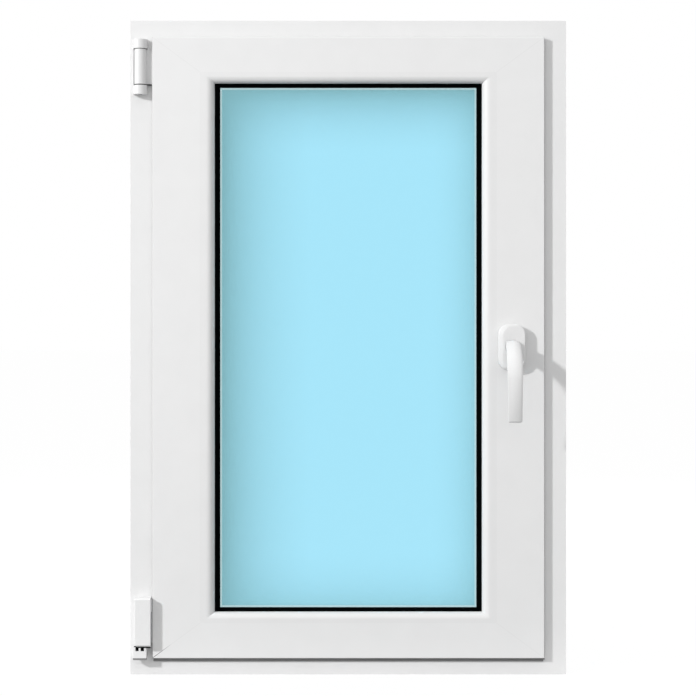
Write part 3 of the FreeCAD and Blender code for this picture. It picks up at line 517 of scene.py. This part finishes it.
def lever_section(left, thick, along):
    """The lever cut across, as points to the right of the spindle and behind the foremost line.

    Along runs from 0 at the neck to 1 at the bend and 2 at the tip.
    """
    def lean(place):
        angles = [read_table(table, place) for table in (NECK_LEAN, BEND_LEAN, TIP_LEAN)]
        return math.radians(read_table(list(enumerate(angles)), along))

    points = arc_points((left + LEFT_ROUND, LEFT_ROUND), LEFT_ROUND, 180, 270 + math.degrees(lean(0)), 5)
    across, back = points[-1]
    step = (LEVER_RIGHT - RIGHT_ROUND * (1 - math.sin(lean(1))) - across) / FRONT_STEPS
    for index in range(FRONT_STEPS):
        across += step
        back += step * math.tan(lean((index + 0.5) / FRONT_STEPS))
        points.append((across, back))
    shoulder = (LEVER_RIGHT - RIGHT_ROUND, back + RIGHT_ROUND * math.cos(lean(1)))
    points += arc_points(shoulder, RIGHT_ROUND, math.degrees(lean(1)) - 90, 0, 8)[1:]
    foremost = min(back for _, back in points)
    points = [(across, back - foremost) for across, back in points]
    points += arc_points((LEVER_RIGHT - REAR_ROUND, thick - REAR_ROUND), REAR_ROUND, 0, 90, 6)
    points += arc_points((left + DRAFT + REAR_ROUND, thick - REAR_ROUND), REAR_ROUND, 90, 180, 6)
    return points


def lever_lines():
    """Pairs of points on the side view's front and rear lines, with how far along the lever they lie."""
    pairs = []
    straight = REACH - GRIP_THICK - CROOK - NECK_START
    turn = CROOK * math.pi / 2
    for index in range(BEND_STEPS):
        part = index / BEND_STEPS
        angle = math.radians(90 * (1 - part))
        front = (NECK_START + ELBOW * math.cos(angle), NECK - ELBOW + ELBOW * math.sin(angle))
        run = part * (straight + turn)
        if run < straight:
            rear = (NECK_START + run, -NECK)
        else:
            angle = math.pi / 2 - (run - straight) / CROOK
            rear = (NECK_START + straight + CROOK * math.cos(angle), -NECK - CROOK + CROOK * math.sin(angle))
        pairs.append((front, rear, part ** 2))
    bend = NECK - ELBOW
    crook = -NECK - CROOK
    shift = TIP_BACK + TIP_THICK - GRIP_THICK
    bow = ((bend - TIP) ** 2 + TIP_BACK ** 2) / (TIP_BACK * 2)
    hollow = ((crook - TIP) ** 2 + shift ** 2) / (shift * 2)
    for index in range(GRIP_STEPS + 1):
        part = index / GRIP_STEPS * (1 - TIP_RINGS[-1][0] / (bend - TIP))
        fall = (bend - TIP) * part
        front = (REACH - bow + math.sqrt(bow ** 2 - fall ** 2), bend - fall)
        fall = (crook - TIP) * part
        rear = (REACH - GRIP_THICK - hollow + math.sqrt(hollow ** 2 - fall ** 2), crook - fall)
        pairs.append((front, rear, 1.0 + part))
    return pairs


def place_section(front, rear, section):
    """A cut of the lever set between its front and rear lines."""
    thick = math.dist(front, rear)
    out, up = (rear[0] - front[0]) / thick, (rear[1] - front[1]) / thick
    return [at_spindle(across, front[0] + out * back, front[1] + up * back) for across, back in section]


def lever_loops():
    """The lever's cross-sections from the rose to its tip."""
    loops = []
    for front, rear, along in lever_lines():
        left = LEVER_LEFT + TIP_NARROWER * (NECK - front[1]) / (NECK - TIP)
        left += NECK_NARROWER * (1 - math.sqrt(min(along, 1))) ** 2
        section = lever_section(left, math.dist(front, rear), along)
        loops.append(place_section(front, rear, section))
    wide, thick = LEVER_RIGHT - left, math.dist(front, rear)
    middle = (left + LEVER_RIGHT) / 2
    for drop, before, beside, behind in TIP_RINGS:
        narrow, thin = 1 - 2 * beside / wide, 1 - (before + behind) / thick
        small = [(middle + (across - middle) * narrow, before + back * thin) for across, back in section]
        loops.append(place_section((front[0], front[1] - drop), (rear[0], rear[1] - drop), small))
    return loops


def make_lever():
    """The lever's casting, with the round journal that goes into the rose."""
    bm = bmesh.new()
    skin(bm, lever_loops())
    skin(bm, [
        [at_spindle(x, out, z) for x, z in circle_points((0, 0), JOURNAL_RADIUS)]
        for out in (JOURNAL_END, NECK_START + JOURNAL_LAP)
    ])
    lever = add_piece("cast_lever", bm, LEVER_ENAMEL, "handle")
    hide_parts("handle_lever")


# The rose, in millimetres: crisp at the right, with a broad flat bevel at the upper left and a short
# steep one below.

ROSE_THICK = 12.6
ROSE_CORNER = 15.5
ROSE_BORE = 8.9
BEVEL_LEAST = 0.8
BEVEL_LEFT = 5.5
BEVEL_UP = 2.8
BEVEL_BELOW = 2.4
BEVEL_SLOPE = 0.33
OUTLINE_STEP = 3


def rose_outline():
    """Points round the rose with the way that each faces, close enough together for its round bore."""
    low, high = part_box("handle_rose")
    side, end = (high.x - low.x) / 2 / MM - ROSE_CORNER, (high.z - low.z) / 2 / MM - ROSE_CORNER
    points = []
    for x, z, first in ((side, end, 0), (-side, end, 90), (-side, -end, 180), (side, -end, 270)):
        for facing in arc_points((0, 0), 1.0, first, first + 90, 12):
            points.append((x + facing[0] * ROSE_CORNER, z + facing[1] * ROSE_CORNER, *facing))
    closer = []
    for near, far in zip(points, points[1:] + points[:1]):
        parts = max(1, round(math.dist(near[:2], far[:2]) / OUTLINE_STEP))
        for part in range(parts):
            closer.append([a + (b - a) * part / parts for a, b in zip(near, far)])
    return closer


def rose_edge(facing):
    """The rose's edge, from the sash to its face, as distances inside the outline and off the sash."""
    flat = max(0, facing[1] * BEVEL_UP - facing[0] * BEVEL_LEFT)
    steep = max(0, -facing[1]) * BEVEL_BELOW
    wide = BEVEL_LEAST + flat + steep
    deep = 0.5 + flat * BEVEL_SLOPE + steep
    # An upright wall, the bevel with both its ends eased, and the start of the face.
    return [
        (0, 0), (0, ROSE_THICK - deep - 0.4), (0.05 + 0.02 * wide, ROSE_THICK - deep),
        (0.1 + 0.12 * wide, ROSE_THICK - 0.88 * deep), (0.88 * wide, ROSE_THICK - 0.12 * deep),
        (wide, ROSE_THICK - 0.02 * deep), (wide + 0.6, ROSE_THICK),
    ]


def make_rose():
    """The rose's casting: a bevelled plate with a bore for the lever's journal."""
    outline = rose_outline()
    edges = [rose_edge(facing) for _, _, *facing in outline]
    loops = []
    for index in range(len(edges[0])):
        loops.append([
            at_spindle(x - edge[index][0] * face_x, edge[index][1], z - edge[index][0] * face_z)
            for (x, z, face_x, face_z), edge in zip(outline, edges)
        ])
    # The bore, with its mouth eased.
    for radius, out in ((ROSE_BORE + 0.4, ROSE_THICK), (ROSE_BORE, ROSE_THICK - 0.2), (ROSE_BORE, 0)):
        loops.append([
            at_spindle(x / math.hypot(x, z) * radius, out, z / math.hypot(x, z) * radius)
            for x, z, _, _ in outline
        ])
    bm = bmesh.new()
    skin(bm, loops, ring=True)
    rose = add_piece("cast_rose", bm, ROSE_ENAMEL, "window")
    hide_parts("handle_rose")


# The hinges' trim

def make_hinge_bushes_and_shade():
    """Two black rubber washers on the upper hinge's pin, the lower one with a tab under the web. Their black
    is also painted shade in the slits beside the knuckle.
    """
    pin_low, pin_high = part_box("upper_hinge_pin")
    knuckle_low, knuckle_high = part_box("upper_hinge_knuckle")
    axis = ((pin_low.x + pin_high.x) / 2, (pin_low.y + pin_high.y) / 2)
    bore = 3.3 * MM
    # Each washer's radius, its underside and its top.
    lower = (8.45 * MM, knuckle_low.z - 1.6 * MM, knuckle_low.z - 0.1 * MM)
    upper = (8.0 * MM, knuckle_high.z + 0.1 * MM, knuckle_high.z + 0.7 * MM)
    bm = bmesh.new()
    for radius, low, high in (lower, upper):
        skin(bm, [
            [(x, y, z) for x, y in circle_points(axis, wall)]
            for wall, z in ((bore, low), (radius, low), (radius, high), (bore, high))
        ], ring=True)
    _, low, high = lower
    add_block(bm, (axis[0] + 5 * MM, axis[1] - 1 * MM, low), (axis[0] + 15.7 * MM, axis[1] + 1 * MM, high))
    add_piece("hinge_bushes_and_shade", bm, EPDM, "window")


def make_block_gasket_and_shade():
    """The white washer on the bearing block, and a black rubber fold over the block's front edge, partly
    gasket and partly painted shade.
    """
    plate_low, plate_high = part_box("lower_hinge_washer")
    block_low, block_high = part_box("lower_hinge_bearing")
    bm = bmesh.new()
    washer_low = (plate_low.x + 0.2 * MM, plate_low.y + 0.3 * MM, block_high.z + 0.05 * MM)
    add_block(bm, washer_low, plate_high)
    add_piece("block_washer", bm, ABS, "window", smooth=False)
    bm = bmesh.new()
    front = block_low.y - 0.12 * MM
    # The fold, its tongue at the left, and two tabs: both sides from the block's left, and the underside and
    # the top from the block's top, in millimetres.
    # The fold's long right end, its tongue and the tabs are painted shade: black set where the cover's edge
    # and the block's notches lie in shade.
    for left, right, low, high in (
            (4.4, 24.6, -0.65, 0.75), (1.7, 5.0, 0.6, 1.7), (4.6, 8.2, -4.9, -0.6), (11.0, 15.5, -4.9, -0.6)):
        add_block(bm, (block_low.x + left * MM, front, block_high.z + low * MM), (
            block_low.x + right * MM, block_low.y + 1.5 * MM, block_high.z + high * MM))
    gasket = add_piece("block_gasket_and_shade", bm, EPDM, "window", smooth=False)
    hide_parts("lower_hinge_washer")


def make_bearing_shade_strip():
    """A thin grey strip under the bearing block, painted shade that shows as a dark line beneath it."""
    low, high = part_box("lower_hinge_bearing")
    bm = bmesh.new()
    add_block(bm, (low.x + 0.3 * MM, low.y + 0.4 * MM, low.z - 2.6 * MM), (
        high.x - 0.3 * MM, low.y + 8 * MM, low.z - 0.02 * MM))
    add_piece("bearing_shade_strip", bm, SHADE_GREY, "window", smooth=False)


# Painted shade below the sash's lip, and the spacer bar

def add_line(bm, points, closed=False):
    """Edges from point to point, and back to the first if the line is closed."""
    corners = [bm.verts.new(point) for point in points]
    pairs = list(zip(corners, corners[1:]))
    if closed:
        pairs.append((corners[-1], corners[0]))
    for pair in pairs:
        bm.edges.new(pair)


def build_bead(tree):
    """A round grey bead along the path."""
    tree.interface.new_socket("Radius", in_out="INPUT", socket_type="NodeSocketFloat")
    given = add(tree, "NodeGroupInput").outputs
    path = add(tree, "GeometryNodeMeshToCurve", {"Mesh": given["Path"]})
    outline = add(tree, "GeometryNodeCurvePrimitiveCircle", {"Resolution": 12, "Radius": given["Radius"]})
    bead = add(tree, "GeometryNodeCurveToMesh", {"Curve": path, "Profile Curve": outline, "Fill Caps": True})
    close_tree(tree, bead, SHADE_GREY)
    return {"Radius": 1.4 * MM}


def make_lip_shade_bead():
    """A grey bead below the sash's lip and a little at its handle side: painted shade along those edges."""
    left = SASH_LOW.x + 1.4 * MM
    right = SASH_HIGH.x - 0.2 * MM
    low = SASH_LOW.z - 1.75 * MM
    high = SASH_HIGH.z - 2.0 * MM
    second = low - 2.0 * MM
    bm = bmesh.new()
    add_line(bm, [(x, LIP_GAP, z) for x, z in ((left, low), (right, low), (right, high), (left, high))])
    add_line(bm, [(x, LIP_GAP, second) for x in (left, right - 1.0 * MM)])
    grow("lip_shade_bead", bm, build_bead)


def build_perforations(tree):
    """Small round holes along the path, each facing the middle of the pane."""
    for name in ("Radius", "Spacing", "Proud"):
        tree.interface.new_socket(name, in_out="INPUT", socket_type="NodeSocketFloat")
    given = add(tree, "NodeGroupInput").outputs
    path = add(tree, "GeometryNodeMeshToCurve", {"Mesh": given["Path"]})
    points = add(tree, "GeometryNodeCurveToPoints", {
        "Curve": path, "Length": given["Spacing"],
    }, mode="LENGTH")
    hole = add(tree, "GeometryNodeMeshCylinder", {
        "Vertices": 8, "Radius": given["Radius"], "Depth": given["Proud"],
    })
    inward = add(tree, "ShaderNodeVectorMath", {
        0: points.outputs["Tangent"], 1: (0, 1, 0),
    }, operation="CROSS_PRODUCT")
    turned = add(tree, "FunctionNodeAlignRotationToVector", {"Vector": inward}, axis="Z")
    holes = add(tree, "GeometryNodeInstanceOnPoints", {
        "Points": points, "Instance": hole, "Rotation": turned,
    })
    close_tree(tree, holes, make_pierced_marks())
    return {"Radius": 0.5 * MM, "Spacing": 4 * MM, "Proud": 0.05 * MM}


def make_perforations():
    """The row of holes that lets the spacer bar's drying beads reach the air between the sheets."""
    low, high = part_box("spacer_bar")
    wall = 8 * MM
    middle = (low.y + high.y) / 2
    left, right, bottom, top = low.x + wall, high.x - wall, low.z + wall, high.z - wall
    bm = bmesh.new()
    corners = [(x, middle, z) for x, z in ((left, bottom), (right, bottom), (right, top), (left, top))]
    add_line(bm, corners, closed=True)
    grow("spacer_perforations", bm, build_perforations)


dress_cad_nodes()
make_lever()
make_rose()
make_hinge_bushes_and_shade()
make_block_gasket_and_shade()
make_lip_shade_bead()
make_bearing_shade_strip()
make_perforations()


# Studio

# The middle of the window, at the frame's face.
MIDDLE = Vector((0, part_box("frame_sill")[0].y, (CAD_BOX[0][2] + CAD_BOX[1][2]) / 2))
# The photograph's shadows move 1.35 to the right and 0.68 down for each unit of depth.
KEY_DIRECTION = Vector((-1.35, -1.0, 0.68)).normalized()
KEY_DISTANCE = 7.0
KEY_POWER = 323
KEY_SIZE = 0.49
BACK_PLACE = (1.6, 3.2, 2.2)
BACK_POWER = 60
BACK_SIZE = 1.2
# The room's light fades from one strength above to another below, within this much of level. The floor
# hides the lower half of it.
AMBIENT_ABOVE = 0.86
AMBIENT_BELOW = 0.50
AMBIENT_FADE = 0.3
# The photograph's camera: level, in front of the room face, with a long lens.
CAMERA_PLACE = (-0.0004, -3.035, 0.4494)
CAMERA_LENS = 112.65
CAMERA_SENSOR = 36
FLOOR_REACH = 400


def add_lamp(name, place, power, size):
    """A round soft lamp that faces the middle of the window."""
    lamp = bpy.data.lights.new(name, "AREA")
    lamp.shape = "DISK"
    lamp.size = size
    lamp.energy = power
    item = bpy.data.objects.new(name, lamp)
    item.location = place
    item.rotation_euler = (MIDDLE - item.location).to_track_quat("-Z", "Y").to_euler()
    bpy.context.scene.collection.objects.link(item)


def build_lights():
    """One lamp from the upper left, a weak one behind, and an even world that shows white."""
    add_lamp("key_lamp", MIDDLE + KEY_DIRECTION * KEY_DISTANCE, KEY_POWER, KEY_SIZE)
    add_lamp("back_lamp", BACK_PLACE, BACK_POWER, BACK_SIZE)
    world = bpy.data.worlds.new("studio")
    bpy.context.scene.world = world
    world.use_nodes = True
    tree = world.node_tree
    tree.nodes.clear()
    direction = add(tree, "ShaderNodeTexCoord").outputs["Generated"]
    height = add(tree, "ShaderNodeSeparateXYZ", {"Vector": direction}).outputs["Z"]
    level = add(tree, "ShaderNodeMapRange", {
        "Value": height, "From Min": -AMBIENT_FADE, "From Max": AMBIENT_FADE,
        "To Min": AMBIENT_BELOW, "To Max": AMBIENT_ABOVE,
    }, interpolation_type="SMOOTHSTEP")
    even = add(tree, "ShaderNodeBackground", {"Color": srgb("#FFFFFF"), "Strength": level})
    white = add(tree, "ShaderNodeBackground", {"Color": srgb("#FFFFFF"), "Strength": 1.0})
    path = add(tree, "ShaderNodeLightPath").outputs
    seen = path["Is Camera Ray"]
    for ray in ("Is Glossy Ray", "Is Transmission Ray"):
        seen = add(tree, "ShaderNodeMath", {0: seen, 1: path[ray]}, operation="MAXIMUM")
    mixed = add(tree, "ShaderNodeMixShader", {0: seen, 1: even, 2: white})
    add(tree, "ShaderNodeOutputWorld", {"Surface": mixed})


def paint_floor():
    """A pale floor: a grey board on a paler ground, and a paler strip along the window.

    Camera, glossy and transmitted rays see it white, and camera rays keep a little of its shadow.
    """
    material, tree = start_material("pale_floor")
    place = add(tree, "ShaderNodeTexCoord").outputs["Object"]
    away = add(tree, "ShaderNodeSeparateXYZ", {"Vector": place}).outputs["Y"]
    beside = add(tree, "ShaderNodeMath", {0: away}, operation="ABSOLUTE")
    distance = add(tree, "ShaderNodeVectorMath", {0: place}, operation="LENGTH").outputs["Value"]
    path = add(tree, "ShaderNodeLightPath").outputs
    colour = srgb("#A6A6A6")
    # The board and then the strip: what is measured, where the shade starts to end and ends, and the shade.
    for measure, start, stop, shade in ((distance, 0.45, 0.6, "#8A8A8A"), (beside, 0.08, 0.14, "#C8C8C8")):
        inside = add(tree, "ShaderNodeMapRange", {
            "Value": measure, "From Min": start, "From Max": stop, "To Min": 1.0, "To Max": 0.0,
        })
        colour = add(tree, "ShaderNodeMix", {
            "Factor": inside, COLOUR_A: colour, COLOUR_B: srgb(shade),
        }, data_type="RGBA")
    colour = add(tree, "ShaderNodeMix", {
        "Factor": path["Is Camera Ray"], COLOUR_A: colour, COLOUR_B: srgb("#FFFFFF"),
    }, data_type="RGBA")
    paint = add(tree, "ShaderNodeBsdfDiffuse", {"Color": colour})
    glow = add(tree, "ShaderNodeEmission", {"Color": srgb("#FFFFFF"), "Strength": 1.0})
    seen = add(tree, "ShaderNodeMath", {0: path["Is Camera Ray"], 1: 0.95}, operation="MULTIPLY")
    for ray in ("Is Glossy Ray", "Is Transmission Ray"):
        seen = add(tree, "ShaderNodeMath", {0: seen, 1: path[ray]}, operation="MAXIMUM")
    mixed = add(tree, "ShaderNodeMixShader", {0: seen, 1: paint, 2: glow})
    add(tree, "ShaderNodeOutputMaterial", {"Surface": mixed})
    return material


def build_floor():
    """The floor, just under the sill."""
    corners = [(x * FLOOR_REACH, y * FLOOR_REACH, 0) for x, y in ((-1, -1), (1, -1), (1, 1), (-1, 1))]
    mesh = bpy.data.meshes.new("floor")
    mesh.from_pydata(corners, [], [(0, 1, 2, 3)])
    mesh.materials.append(paint_floor())
    floor = bpy.data.objects.new("floor", mesh)
    floor.location.z = CAD_BOX[0][2] - 0.5 * MM
    bpy.context.scene.collection.objects.link(floor)


def build_camera():
    """The camera, looking along +Y."""
    camera = bpy.data.cameras.new("camera")
    camera.lens = CAMERA_LENS
    camera.sensor_width = CAMERA_SENSOR
    item = bpy.data.objects.new("camera", camera)
    item.location = CAMERA_PLACE
    item.rotation_euler = (math.pi / 2, 0, 0)
    bpy.context.scene.collection.objects.link(item)
    bpy.context.scene.camera = item


build_lights()
build_floor()
build_camera()
bpy.context.scene.view_settings.view_transform = "Standard"
